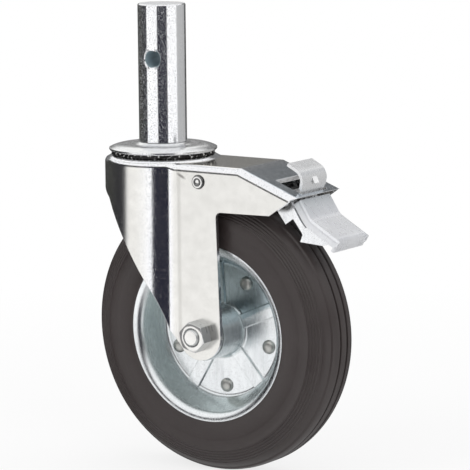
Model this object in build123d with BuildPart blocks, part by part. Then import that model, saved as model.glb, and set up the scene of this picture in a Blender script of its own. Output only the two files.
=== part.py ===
from build123d import *
from math import acos, atan2, cos, degrees, hypot, radians, sin, sqrt, tan
import os

# Scaffold castor, 200 mm wheel, 34 mm stem, brake pedal with a release latch.
# Origin on the swivel axis where the plain stem starts, +Z up the stem,
# +X towards the pedal, the wheel axle parallel to Y.

# Fits
seat_gap = 0.02
run_gap = 0.05
clear_gap = 0.3

# Stem
stem_r = 17
stem_length = 97.8
stem_chamfer = 0.8
pin_hole_r = 6
pin_hole_chamfer = 0.8
pin_hole_from_top = 38.3
pin_hole_turn = 9
stem_shoulder = 0.3
spigot_r = 8
spigot_head_r = 11.5
spigot_head_t = 4

# Top plate, a pressed disc: a low collar round the stem, a flat ring, then a domed edge
collar_land = 0.7
plate_drop = 1.7
plate_r = 38.4
ring_start_r = 22
ring_stop_r = 28
plate_t = 4.3
plate_fall = 2.6
plate_edge = 1
plate_lip = 0.6

# Ball races
race_gap = 2.8
upper_ball_r = 2.75
upper_ball_count = 30
upper_race_r = 29.5
lower_gap = 2.6
lower_ball_r = 2.5
lower_ball_count = 20
lower_race_r = 17.5
seal_r = 36.8
seal_width = 3
seal_rib_count = 90
seal_rib = 0.5

# Lower race cup and the toothed ring that the brake locks into
cup_r = 24
cup_t = 3
cup_rim = 2
ring_r = 27
ring_t = 2.4
ring_teeth = 24
tooth_depth = 1.8
tooth_length = 6.5
tooth_share = 0.42

# Fork, one pressed sheet
sheet = 3
head_r = 41.5
head_corner = 7
head_step = 2.4
head_hole_r = 12
fork_half = 31
fork_corner = 5
fork_blend = 15
deck_flat_x = 84
deck_end_x = 130
deck_slope = 20.6
front_lip = 23.5
window_front_x = 105
window_back_x = 127.2
window_half = 16.5

# Wheel and axle
wheel_r = 100
trail = 50.5
lever_room = 16.8
leg_end_r = 17.7
axle_r = 6
axle_head_af = 19
axle_head_t = 7.5
axle_nut_t = 10
axle_end = 1.2
sleeve_r = 8.5

# Side outline of the fork: knee, bend and foot of the leg's front edge from the axle
leg_knee_back = 73.5
leg_knee_rise = 93
leg_bend_back = 39.2
leg_bend_rise = 35.2
leg_foot_back = 24.3
leg_foot_rise = 1.9
leg_back_top = 14.6
leg_front_bow = 2.5
wing_depth = 28.6
wing_end_x = 109.4
wing_tip_x = 127.4
wing_corner = 4

# Tyre
tyre_half = 22
crown_half = 6
shoulder_r = 80
groove_half = 0.9
groove_depth = 1.4
groove_places = (-4.2, 4.2)

# Rim, two pressed halves back to back
rim_t = 2
rim_lip_r = 63
rim_lip_y = 20.5
rim_wall_r = 59.5
rim_well_r = 49.5
rim_bend = 5
lip_bend = 5
neck_r = 16.5
hub_gap = 1
rivet_circle = 40.2
rivet_count = 5
rivet_turn = 59
rivet_r = 3
rivet_head_r = 5
rivet_head_t = 2.6
rib_half = 5.4
rib_height = 1.6
rib_taper = 25

# Hub bearing
roller_r = 2.9
roller_count = 10
cage_wall = 2
cage_margin = 2
cage_room = 2.4
cap_t = 1.6

# Brake lever, one folded sheet, and its pivot
lever_sheet = 2.5
lever_half = 17.3
pivot_ahead = 0.5
pivot_drop = 11.2
pivot_r = 3
pivot_head_r = 4.65
pivot_head_t = 1.8
pivot_dimple_r = 2.75
pivot_dimple = 0.8
tongue_half = 11
tongue_room = 2.8
lever_tooth_height = 2.1
weld = 0.5
lever_nose = 20
lever_neck = 13
chin_x = 11
chin_drop = 7.1
hump_x = 5
hump_rise = 0.6
web_room = 1.8
elbow = (5.7, 5.9)
armpit = (10.1, 0.7)
heel_drop = 3.5
arm_back = 10.4
arm_rise = 0.3
arm_shoulder = 17
arm_shoulder_drop = 6.2
web_start = 8
web_bend = 4
web_reach = 13
web_end_drop = 6

# Lower edge of the lever's flanges and its brake shoe: x and clearance to the tread
tab_front = (107.5, 7.1)
tab_foot = (114, 3.6)
notch = (120.1, 10.7)
rear_tab = (126.6, 8.7)
rear_corner = (127.7, 8.1)
rear_foot = (125.7, 3.1)
pedal_root = (143.5, 16)
shoe_front = (114, 7)
shoe_foot = (114.9, 5)
shoe_top = (118.9, 11.4)

# Pedal cover
cover_sheet = 2
cover_half = 20
cover_flange = 6
corner_share = 0.95
cover_bends = (9, 5)
cover_tuck = 2.6
steep_run = 8.5
steep_fall = 13.3
tread_span = 22.9
tread_drop = 13.4
roll_back = 4.9
roll_fall = 7.6
seat_start = 2
seat_stop = 6.5

# Release latch, its strap measured from its pin
latch_sheet = 2.2
latch_half = 15.5
latch_root_half = 14.3
latch_pin_r = 2
latch_pin_back = 3.5
latch_pin_drop = 2.8
latch_ear = 4
ear_slant = 2
slit_room = 3
latch_root_rise = 6.2
strap_foot_x = 9.8
strap_knee_x = 11.6
strap_knee_z = 15
strap_curl_x = 10.1
strap_curl_z = 19.8
strap_end_x = 0.5
strap_end_z = 24.8
strap_bends = (2.8, 5, 8)
tongue_w = 6
tongue_in = 11.4
tongue_root_z = 16.5
tongue_root = 1
tongue_drop = 4.3
tongue_out = 15.5
tongue_edge = 1.4

# Springs
spring_wire_r = 1
spring_turns = 8
spring_reach = 25
latch_wire_r = 0.6
latch_turns = 5

# Heights down the swivel axis
plate_top = -plate_drop
plate_under = plate_top - plate_t
edge_top = plate_top - plate_fall
head_top = plate_under - race_gap
head_under = head_top - sheet
upper_ball_z = (plate_under + head_top) / 2
cup_top = head_under - lower_gap
lower_ball_z = (head_under + cup_top) / 2
cup_under = cup_top - cup_t
ring_under = cup_under - ring_t
tooth_tip = ring_under - tooth_depth
spigot_end = ring_under - spigot_head_t

# Deck, axle and pivot
deck_top = head_top - head_step
deck_under = deck_top - sheet
axle_z = deck_under - lever_room - wheel_r
axle_at = (trail, 0, axle_z)
pivot_x = trail + pivot_ahead
pivot_z = deck_top - pivot_drop
fork_inner = fork_half - sheet
hub_half = fork_inner - hub_gap
cage_half = hub_half - cap_t - cage_room
roller_length = 2 * (cage_half - cage_margin)
lever_inner = lever_half - lever_sheet
axle_line = Axis(axle_at, (0, 1, 0))
wheel_plane = Plane(axle_at)


def deck_height(x):
    """Top of the deck at x: level over the wheel, then falling to the rear edge."""
    return deck_top - max(0, x - deck_flat_x) * tan(radians(deck_slope))


def near_tread(x, gap):
    """Side-view point at x that stands clear of the tread by gap."""
    return (x, axle_z + sqrt((wheel_r + gap) ** 2 - (x - trail) ** 2))


def ribbon(points, radius, thickness, side):
    """Closed outline of a sheet folded along points, with its thickness on one side."""
    with BuildSketch(Plane.XY) as outline:
        with BuildLine():
            FilletPolyline(*points, radius=radius)
            offset(amount=thickness, side=side)
        make_face()
    return outline.sketch


def side_plate(outline, y_low, y_high):
    """Extrudes a side-view outline, drawn as x and z, from y_low to y_high."""
    with BuildPart(mode=Mode.PRIVATE) as slab:
        with BuildSketch(Plane.XZ.offset(-y_high)):
            add(outline)
        extrude(amount=y_high - y_low)
    return slab.part


def mirrored_plate(outline, y_low, y_high):
    """The same plate on both sides of the castor."""
    plate = side_plate(outline, y_low, y_high)
    return plate + plate.mirror(Plane.XZ)


def outline_of(points):
    """Closed outline through side-view points."""
    with BuildSketch(Plane.XY) as outline:
        with BuildLine():
            Polyline(*points, close=True)
        make_face()
    return outline.sketch


def cross_bar(place, radius, y_low, y_high):
    """Round bar along Y through a side-view place."""
    with BuildPart(mode=Mode.PRIVATE) as bar:
        with BuildSketch(Plane.XZ.offset(-y_high)):
            with Locations(place):
                Circle(radius)
        extrude(amount=y_high - y_low)
    return bar.part


def ball_set(count, pitch_r, height, radius):
    """Balls spaced round a race."""
    with BuildPart() as balls:
        with Locations((0, 0, height)):
            with PolarLocations(pitch_r, count):
                Sphere(radius)
    return balls.part


def race_groove(pitch_r, height, radius):
    """Ring that a ball sweeps round a race, with its running clearance."""
    with BuildPart() as groove:
        with BuildSketch(Plane.XZ):
            with Locations((pitch_r, height)):
                Circle(radius + run_gap)
        revolve(axis=Axis.Z)
    return groove.part


foot_r = stem_r - stem_shoulder
collar_land_r = foot_r + collar_land
upper_groove = race_groove(upper_race_r, upper_ball_z, upper_ball_r)
lower_groove = race_groove(lower_race_r, lower_ball_z, lower_ball_r)

# Stem, a turned bar whose spigot is riveted over below the races
with BuildPart() as stem:
    with BuildSketch(Plane.XZ):
        with BuildLine():
            Polyline(
                (0, stem_length),
                (stem_r - stem_chamfer, stem_length),
                (stem_r, stem_length - stem_chamfer),
                (stem_r, 0),
                (foot_r, 0),
                (foot_r, plate_top),
                (spigot_r, plate_top),
                (spigot_r, ring_under),
                (spigot_head_r, ring_under),
                (spigot_head_r, ring_under - spigot_head_t / 2),
                (spigot_r, spigot_end),
                (0, spigot_end),
                close=True,
            )
        make_face()
    revolve(axis=Axis.Z)
    hole_plane = Plane(
        origin=(0, 0, stem_length - pin_hole_from_top),
        x_dir=(cos(radians(pin_hole_turn)), sin(radians(pin_hole_turn)), 0),
        z_dir=(sin(radians(pin_hole_turn)), -cos(radians(pin_hole_turn)), 0),
    )
    with BuildSketch(hole_plane):
        Circle(pin_hole_r)
    extrude(amount=stem_r * 2, both=True, mode=Mode.SUBTRACT)
    # the countersink stands at the same depth on both mouths
    mouth = sqrt(stem_r**2 - pin_hole_r**2)
    for side in (1, -1):
        with BuildSketch(hole_plane.offset(side * (mouth + pin_hole_chamfer))):
            Circle(pin_hole_r + 2 * pin_hole_chamfer)
        with BuildSketch(hole_plane.offset(side * (mouth - pin_hole_chamfer))):
            Circle(pin_hole_r)
        loft(mode=Mode.SUBTRACT)
stem.part.label = "stem"

# Top plate, with its upper race pressed in underneath
with BuildPart() as top_plate:
    with BuildSketch(Plane.XZ):
        with BuildLine():
            Polyline(
                (spigot_r + seat_gap, plate_under),
                (spigot_r + seat_gap, plate_top),
                (foot_r + seat_gap, plate_top),
                (foot_r + seat_gap, -stem_shoulder),
                (collar_land_r, -stem_shoulder),
            )
            TangentArc((ring_start_r, plate_top), (collar_land_r, -stem_shoulder), tangent=(-1, 0))
            Line((ring_start_r, plate_top), (ring_stop_r, plate_top))
            TangentArc((ring_stop_r, plate_top), (plate_r, edge_top), tangent=(1, 0))
            Polyline(
                (plate_r, edge_top),
                (plate_r, edge_top - plate_edge),
                (plate_r - plate_lip, plate_under),
                (spigot_r + seat_gap, plate_under),
            )
        make_face()
    revolve(axis=Axis.Z)
    add(upper_groove, mode=Mode.SUBTRACT)
top_plate.part.label = "top_plate"

# Black dust seal between the plate and the fork head, ribbed on its rim
with BuildPart() as race_seal:
    with BuildSketch(Plane.XY.offset(plate_under)):
        Circle(seal_r - seal_rib)
        Circle(seal_r - seal_width, mode=Mode.SUBTRACT)
        with PolarLocations(seal_r - seal_rib, seal_rib_count):
            Rectangle(2 * seal_rib, 2 * seal_rib)
    extrude(amount=-(race_gap - clear_gap))
race_seal.part.label = "race_seal"

upper_balls = ball_set(upper_ball_count, upper_race_r, upper_ball_z, upper_ball_r)
upper_balls.label = "upper_balls"

lower_balls = ball_set(lower_ball_count, lower_race_r, lower_ball_z, lower_ball_r)
lower_balls.label = "lower_balls"

# Lower race cup, a thick dished washer under the head
with BuildPart() as lower_race_cup:
    with BuildSketch(Plane.XZ):
        with BuildLine():
            Polyline(
                (spigot_r + seat_gap, cup_under),
                (cup_r, cup_under),
                (cup_r, head_under - 2 * clear_gap),
                (cup_r - cup_rim, head_under - 2 * clear_gap),
                (cup_r - cup_rim, cup_top),
                (spigot_r + seat_gap, cup_top),
                close=True,
            )
        make_face()
    revolve(axis=Axis.Z)
    add(lower_groove, mode=Mode.SUBTRACT)
lower_race_cup.part.label = "lower_race_cup"

tooth_angle = 360 / ring_teeth * tooth_share


def tooth_outline(inner_r, outer_r):
    """Radial tooth centred on +X, as wide in angle as tooth_angle."""
    half = radians(tooth_angle / 2)
    with BuildSketch(Plane.XY) as tooth:
        with BuildLine():
            Polyline(
                (inner_r * cos(half), -inner_r * sin(half)),
                (outer_r * cos(half), -outer_r * sin(half)),
                (outer_r * cos(half), outer_r * sin(half)),
                (inner_r * cos(half), inner_r * sin(half)),
                close=True,
            )
        make_face()
    return tooth.sketch


# Swivel lock ring, crown teeth facing down
ring_tooth = tooth_outline(ring_r - tooth_length, ring_r)
with BuildPart() as swivel_lock_ring:
    with BuildSketch(Plane.XY.offset(cup_under)):
        Circle(ring_r)
        Circle(spigot_r + seat_gap, mode=Mode.SUBTRACT)
    extrude(amount=-ring_t)
    with BuildSketch(Plane.XY.offset(ring_under)):
        with PolarLocations(0, ring_teeth, start_angle=180 / ring_teeth):
            add(ring_tooth)
    extrude(amount=-tooth_depth)
swivel_lock_ring.part.label = "swivel_lock_ring"


def fork_form(inset):
    """The fork's outer form, or with inset its hollow, before the sides are cut."""
    half = fork_half - inset
    low = axle_z - leg_end_r - sheet
    end_x = deck_end_x + 10 * inset
    drop = inset / cos(radians(deck_slope))
    with BuildPart() as head:
        with BuildSketch(Plane.XY.offset(low)):
            Circle(head_r - inset)
        extrude(amount=head_top - inset - low)
        fillet(head.edges().group_by(Axis.Z)[-1], head_corner - inset)
    with BuildPart() as body:
        with BuildSketch(Plane.XY.offset(low)) as plan:
            Circle(head_r - inset)
            with Locations((end_x / 2, 0)):
                Rectangle(end_x, 2 * half)
            joins = plan.vertices().filter_by(lambda v: 0 < v.X < head_r and abs(abs(v.Y) - half) < 0.01)
            fillet(joins, fork_blend + inset)
            Circle(head_r - inset - 1, mode=Mode.SUBTRACT)
        extrude(amount=deck_top - inset - low)
        with BuildSketch(Plane.XZ):
            with BuildLine():
                slope_x = deck_flat_x - inset * tan(radians(deck_slope / 2))
                Polyline(
                    (slope_x, deck_top - inset),
                    (end_x + 1, deck_height(end_x + 1) - drop),
                    (end_x + 1, deck_top + 1),
                    (slope_x, deck_top + 1),
                    close=True,
                )
            make_face()
        extrude(amount=2 * fork_half, both=True, mode=Mode.SUBTRACT)
        roof = body.faces().filter_by(lambda f: f.normal_at().Z > 0.5)
        rims = roof.edges().filter_by(lambda e: abs(abs(e.center().Y) - half) < 0.01 or hypot(e.center().X, e.center().Y) > head_r - inset + 0.01)
        rims = rims.filter_by(lambda e: e.center().X < end_x - 0.01 and abs(e.center().Y) > half - 0.01)
        fillet(rims, fork_corner - inset)
    return head.part + body.part


fork_outer = fork_form(0)
fork_hollow = fork_form(sheet)

# Side view of the fork: front lip, raked leg, wing under the deck
lip_z = head_top - front_lip
leg_front = (trail - leg_bend_back, axle_z + leg_bend_rise)
leg_knee = (trail - leg_knee_back, axle_z + leg_knee_rise)
leg_foot = (trail - leg_foot_back, axle_z + leg_foot_rise)
lip_x = leg_knee[0] - 10
foot_reach = hypot(leg_foot[0] - trail, leg_foot[1] - axle_z)
foot_angle = degrees(atan2(leg_foot[1] - axle_z, leg_foot[0] - trail)) + degrees(acos(leg_end_r / foot_reach))
tangent_in = (trail + leg_end_r * cos(radians(foot_angle)), axle_z + leg_end_r * sin(radians(foot_angle)))
bow_mid = (
    (leg_front[0] + leg_foot[0]) / 2 + leg_front_bow * 0.4,
    (leg_front[1] + leg_foot[1]) / 2 + leg_front_bow * 0.6,
)
wing_z = deck_under - wing_depth
with BuildSketch(Plane.XY) as fork_side:
    with BuildLine():
        Polyline(
            (trail + leg_end_r, axle_z),
            (trail + leg_back_top, wing_z),
            (wing_end_x, wing_z + 0.8),
            (wing_tip_x, deck_height(wing_tip_x) - sheet + 1),
            (deck_end_x + 5, deck_height(wing_tip_x) - sheet + 3),
            (deck_end_x + 5, head_top + 5),
            (-head_r - 5, head_top + 5),
            (-head_r - 5, lip_z),
            (lip_x, lip_z),
            leg_knee,
            leg_front,
        )
        ThreePointArc(leg_front, bow_mid, leg_foot)
        Line(leg_foot, tangent_in)
        ThreePointArc(tangent_in, (trail, axle_z - leg_end_r), (trail + leg_end_r, axle_z))
    make_face()
    fillet(fork_side.vertices().sort_by_distance((trail + leg_back_top, wing_z))[0], wing_corner)

with BuildPart() as fork_housing:
    add(fork_outer)
    add(fork_hollow, mode=Mode.SUBTRACT)
    add(side_plate(fork_side.sketch, -2 * head_r, 2 * head_r), mode=Mode.INTERSECT)
    with BuildSketch(Plane.XY.offset(deck_under - 20)):
        with Locations(((window_front_x + window_back_x) / 2, 0)):
            RectangleRounded(window_back_x - window_front_x, 2 * window_half, 1.5)
    extrude(amount=40, mode=Mode.SUBTRACT)
    with BuildSketch(Plane.XY.offset(head_under - sheet)):
        Circle(head_hole_r)
    extrude(amount=3 * sheet, mode=Mode.SUBTRACT)
    add(cross_bar((trail, axle_z), axle_r + 2 * run_gap, -fork_half, fork_half), mode=Mode.SUBTRACT)
    add(cross_bar((pivot_x, pivot_z), pivot_r + seat_gap, -fork_half, fork_half), mode=Mode.SUBTRACT)
    add(upper_groove, mode=Mode.SUBTRACT)
    add(lower_groove, mode=Mode.SUBTRACT)
fork_housing.part.label = "fork_housing"

# Axle bolt with its head on the far side and the nut on the near side
bolt_end = fork_half + axle_nut_t + axle_end
with BuildPart() as axle_bolt:
    add(cross_bar((trail, axle_z), axle_r, -bolt_end, fork_half))
    chamfer(axle_bolt.edges().group_by(Axis.Y)[0], 1)
    with BuildSketch(Plane.XZ.offset(-fork_half - axle_head_t)):
        with Locations((trail, axle_z)):
            RegularPolygon(axle_head_af / 2, 6, major_radius=False, rotation=15)
    extrude(amount=axle_head_t)
axle_bolt.part.label = "axle_bolt"

with BuildPart() as axle_nut:
    with BuildSketch(Plane.XZ.offset(fork_half)):
        with Locations((trail, axle_z)):
            RegularPolygon(axle_head_af / 2, 6, major_radius=False, rotation=15)
            Circle(axle_r + seat_gap, mode=Mode.SUBTRACT)
    extrude(amount=axle_nut_t)
axle_nut.part.label = "axle_nut"

with BuildPart() as axle_sleeve:
    with BuildSketch(Plane.XZ.offset(-fork_inner)):
        with Locations((trail, axle_z)):
            Circle(sleeve_r)
            Circle(axle_r + run_gap, mode=Mode.SUBTRACT)
    extrude(amount=2 * fork_inner)
axle_sleeve.part.label = "axle_sleeve"

# Brake pivot, a shouldered rivet with dimpled heads
with BuildPart() as brake_pivot_pin:
    add(cross_bar((pivot_x, pivot_z), pivot_r, -fork_half, fork_half))
    for side in (-1, 1):
        face = side * fork_half
        head_end = side * (fork_half + pivot_head_t)
        dimple = side * (fork_half + pivot_head_t - pivot_dimple)
        add(cross_bar((pivot_x, pivot_z), pivot_head_r, min(face, head_end), max(face, head_end)))
        rim = brake_pivot_pin.edges().sort_by(Axis.Y)[-1 if side > 0 else 0]
        fillet(rim, pivot_head_t / 3)
        add(
            cross_bar((pivot_x, pivot_z), pivot_dimple_r, min(dimple, head_end), max(dimple, head_end)),
            mode=Mode.SUBTRACT,
        )
brake_pivot_pin.part.label = "brake_pivot_pin"


def rim_line():
    """Tyre side of the rim sheet as radius and half width: neck, web, well wall, lip."""
    return (
        (neck_r, hub_half),
        (neck_r, 0),
        (rim_well_r, 0),
        (rim_wall_r, rim_lip_y),
        (rim_lip_r, rim_lip_y),
    )


# Tyre, solid rubber on the two rim halves
with BuildPart() as rim_plug:
    with BuildSketch(wheel_plane) as plug_half:
        with BuildLine():
            FilletPolyline(*rim_line()[1:], radius=(rim_t, lip_bend))
            Polyline(
                (rim_lip_r, rim_lip_y),
                (rim_lip_r, fork_half),
                (0, fork_half),
                (0, 0),
                (neck_r, 0),
            )
        make_face()
        mirror(about=Plane.XZ)
    revolve(axis=axle_line)

with BuildPart() as tyre:
    with BuildSketch(wheel_plane):
        with BuildLine():
            Line((neck_r, 0), (wheel_r, 0))
            Line((wheel_r, 0), (wheel_r, crown_half))
            EllipticalCenterArc(
                (shoulder_r, crown_half),
                wheel_r - shoulder_r,
                tyre_half - crown_half,
                start_angle=0,
                arc_size=90,
            )
            Line((shoulder_r, tyre_half), (neck_r, tyre_half))
            Line((neck_r, tyre_half), (neck_r, 0))
        make_face()
        mirror(about=Plane.XZ)
        # circumferential tread grooves
        for place in groove_places:
            with Locations((wheel_r, place)):
                Rectangle(2 * groove_depth, 2 * groove_half, mode=Mode.SUBTRACT)
    revolve(axis=axle_line)
    add(rim_plug.part, mode=Mode.SUBTRACT)
tyre.part.label = "tyre"


def rim_half(side):
    """One pressed rim half: neck, web with ribs and rivet holes, well wall and lip."""
    rib_places = [rivet_turn + (k + 0.5) * 360 / rivet_count for k in range(rivet_count)]
    with BuildPart() as half:
        with BuildSketch(wheel_plane):
            with BuildLine():
                FilletPolyline(*rim_line(), radius=(rim_bend, rim_bend, lip_bend))
                offset(amount=rim_t, side=Side.LEFT)
            make_face()
        revolve(axis=axle_line)
        web = Plane.XZ.offset(-rim_t)
        for angle in rib_places:
            with BuildSketch(web):
                with Locations(Location((trail, axle_z), angle)):
                    with Locations(((neck_r + rim_well_r) / 2, 0)):
                        Rectangle(rim_well_r - neck_r - 2, 2 * rib_half)
            extrude(amount=-rib_height, taper=rib_taper)
        for k in range(rivet_count):
            angle = radians(rivet_turn + k * 360 / rivet_count)
            place = (trail + rivet_circle * cos(angle), axle_z + rivet_circle * sin(angle))
            add(cross_bar(place, rivet_r + seat_gap, -rim_t, 2 * rim_t), mode=Mode.SUBTRACT)
    part = half.part
    return part if side > 0 else part.mirror(Plane.XZ)


rim_far = rim_half(1)
rim_far.label = "rim_far"
rim_near = rim_half(-1)
rim_near.label = "rim_near"

# Rivets through both webs
with BuildPart() as rim_rivets:
    for k in range(rivet_count):
        angle = radians(rivet_turn + k * 360 / rivet_count)
        place = (trail + rivet_circle * cos(angle), axle_z + rivet_circle * sin(angle))
        add(cross_bar(place, rivet_r, -rim_t, rim_t))
        add(cross_bar(place, rivet_head_r, rim_t, rim_t + rivet_head_t))
        add(cross_bar(place, rivet_head_r, -rim_t - rivet_head_t, -rim_t))
    ends = rim_rivets.edges().group_by(Axis.Y)
    fillet(ends[0] + ends[-1], rivet_head_t / 2)
rim_rivets.part.label = "rim_rivets"

# Hub: tube in the necks, rollers in their cage, a cap at each end
hub_bore = sleeve_r + 2 * roller_r + 2 * run_gap
with BuildPart() as hub_tube:
    with BuildSketch(Plane.XZ.offset(-hub_half)):
        with Locations((trail, axle_z)):
            Circle(neck_r)
            Circle(hub_bore, mode=Mode.SUBTRACT)
    extrude(amount=2 * hub_half)
hub_tube.part.label = "hub_tube"

roller_pitch = sleeve_r + run_gap + roller_r
roller_places = [
    (
        trail + roller_pitch * cos(radians(k * 360 / roller_count)),
        axle_z + roller_pitch * sin(radians(k * 360 / roller_count)),
    )
    for k in range(roller_count)
]
with BuildPart() as hub_rollers:
    for place in roller_places:
        add(cross_bar(place, roller_r, -roller_length / 2, roller_length / 2))
hub_rollers.part.label = "hub_rollers"

with BuildPart() as roller_cage:
    with BuildSketch(Plane.XZ.offset(-cage_half)):
        with Locations((trail, axle_z)):
            Circle(roller_pitch + cage_wall / 2)
            Circle(roller_pitch - cage_wall / 2, mode=Mode.SUBTRACT)
    extrude(amount=2 * cage_half)
    for place in roller_places:
        add(
            cross_bar(place, roller_r + run_gap, -roller_length / 2 - run_gap, roller_length / 2 + run_gap),
            mode=Mode.SUBTRACT,
        )
roller_cage.part.label = "roller_cage"


def hub_cap(side):
    """Pressed cap that closes one end of the hub tube round the sleeve."""
    with BuildPart() as cap:
        with BuildSketch(Plane.XZ.offset(-hub_half)):
            with Locations((trail, axle_z)):
                Circle(hub_bore - seat_gap)
                Circle(sleeve_r + clear_gap, mode=Mode.SUBTRACT)
        extrude(amount=cap_t)
    return cap.part if side > 0 else cap.part.mirror(Plane.XZ)


hub_cap_far = hub_cap(1)
hub_cap_far.label = "hub_cap_far"
hub_cap_near = hub_cap(-1)
hub_cap_near.label = "hub_cap_near"

# Side view of the pedal cover: steep top, tread at 30 degrees, rolled end
cover_top = (deck_end_x - cover_tuck, deck_height(deck_end_x) - cover_tuck)
cover_knee = (cover_top[0] + steep_run, cover_top[1] - steep_fall)
cover_toe = (cover_knee[0] + tread_span, cover_knee[1] - tread_drop)
cover_end = (cover_toe[0] - roll_back, cover_toe[1] - roll_fall)
cover_path = (cover_top, cover_knee, cover_toe, cover_end)
tread_length = hypot(tread_span, tread_drop)


def under_tread(along, depth):
    """Side-view point under the pedal's tread: along from its knee, depth below its top."""
    run = tread_span / tread_length
    fall = tread_drop / tread_length
    return (cover_knee[0] + along * run - depth * fall, cover_knee[1] - along * fall - depth * run)


with BuildPart() as pedal_cover:
    add(
        side_plate(
            ribbon(cover_path, cover_bends, cover_sheet, Side.RIGHT),
            -cover_half,
            cover_half,
        )
    )
    add(
        mirrored_plate(
            ribbon(cover_path[:3], cover_bends[0], cover_flange, Side.RIGHT),
            cover_half - cover_sheet,
            cover_half,
        )
    )
    with BuildLine(Plane.XZ, mode=Mode.PRIVATE) as cover_line:
        FilletPolyline(*cover_path, radius=cover_bends)
    outer_edges = pedal_cover.edges().filter_by(
        lambda e: abs(abs(e.center().Y) - cover_half) < 0.01
        and cover_line.wire().distance(Vertex(e.center().X, 0, e.center().Z)) < 0.4
    )
    fillet(outer_edges, cover_sheet * corner_share)
pedal_cover.part.label = "pedal_cover"

# Brake lever: two side flanges joined by a front tongue, a web and a pedal seat
tongue_top = tooth_tip - tongue_room
tongue_front = ring_r - tooth_length
seat_depth = cover_sheet + seat_gap
seat_in = under_tread(seat_start, seat_depth)
seat_out = under_tread(tread_length - seat_stop, seat_depth)
arm_top = (cover_top[0] - arm_back, cover_top[1] + arm_rise)
arm_bend_x = deck_flat_x + arm_shoulder
web_top = deck_under - web_room
web_end_x = deck_flat_x + web_reach
web_end = (web_end_x, deck_height(web_end_x) - web_end_drop)
lever_outline = (
    (pivot_x - lever_nose, tongue_top - lever_sheet),
    (pivot_x + chin_x, pivot_z - chin_drop),
    near_tread(*tab_front),
    near_tread(*tab_foot),
    near_tread(*notch),
    near_tread(*rear_tab),
    near_tread(*rear_corner),
    near_tread(*rear_foot),
    near_tread(*pedal_root),
    (seat_out[0], seat_out[1] - heel_drop),
    seat_out,
    seat_in,
    (cover_knee[0] - elbow[0], cover_knee[1] - elbow[1]),
    (cover_knee[0] - armpit[0], cover_knee[1] - armpit[1]),
    arm_top,
    (arm_bend_x, deck_height(arm_bend_x) - arm_shoulder_drop),
    (deck_flat_x, web_top),
    (pivot_x + hump_x, web_top + hump_rise),
    (pivot_x - hump_x, web_top),
    (pivot_x - lever_neck, tongue_top),
    (pivot_x - lever_nose, tongue_top),
)
latch_pin_at = (arm_top[0] - latch_pin_back, arm_top[1] - latch_pin_drop)
lever_tooth = tooth_outline(tongue_front, ring_r - 0.5)

with BuildPart() as brake_lever:
    add(mirrored_plate(outline_of(lever_outline), lever_inner, lever_half))
    # tongue under the lock ring, with three teeth
    with BuildSketch(Plane.XY.offset(tongue_top)):
        with Locations(((tongue_front + pivot_x - lever_neck) / 2, 0)):
            Rectangle(pivot_x - lever_neck - tongue_front, 2 * tongue_half)
        with Locations((pivot_x - (lever_nose + lever_neck) / 2, 0)):
            Rectangle(lever_nose - lever_neck, 2 * (lever_inner + weld))
    extrude(amount=-lever_sheet)
    with BuildSketch(Plane.XY.offset(tongue_top)):
        for k in (-1, 0, 1):
            with Locations(Location((0, 0), k * 360 / ring_teeth)):
                add(lever_tooth)
    extrude(amount=lever_tooth_height)
    # web behind the pivot
    web = ribbon(
        ((pivot_x + web_start, web_top + hump_rise), (deck_flat_x, web_top), web_end),
        web_bend,
        lever_sheet,
        Side.RIGHT,
    )
    # seat under the pedal cover
    seat = outline_of(
        (
            seat_in,
            seat_out,
            under_tread(tread_length - seat_stop, seat_depth + lever_sheet),
            under_tread(seat_start, seat_depth + lever_sheet),
        )
    )
    # brake shoe that bears on the tread
    shoe = outline_of([near_tread(*place) for place in (shoe_front, shoe_foot, notch, shoe_top)])
    for strip in (web, seat, shoe):
        add(side_plate(strip, -lever_inner - weld, lever_inner + weld))
    add(cross_bar((pivot_x, pivot_z), pivot_r + run_gap, -fork_half, fork_half), mode=Mode.SUBTRACT)
    add(cross_bar(latch_pin_at, latch_pin_r + seat_gap, -fork_half, fork_half), mode=Mode.SUBTRACT)
brake_lever.part.label = "brake_lever"

with BuildPart() as latch_pin:
    add(cross_bar(latch_pin_at, latch_pin_r, -lever_half, lever_half))
    add(cross_bar(latch_pin_at, latch_pin_r + 1, lever_half, lever_half + 0.6))
    add(cross_bar(latch_pin_at, latch_pin_r + 1, -lever_half - 0.6, -lever_half))
latch_pin.part.label = "latch_pin"

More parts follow.
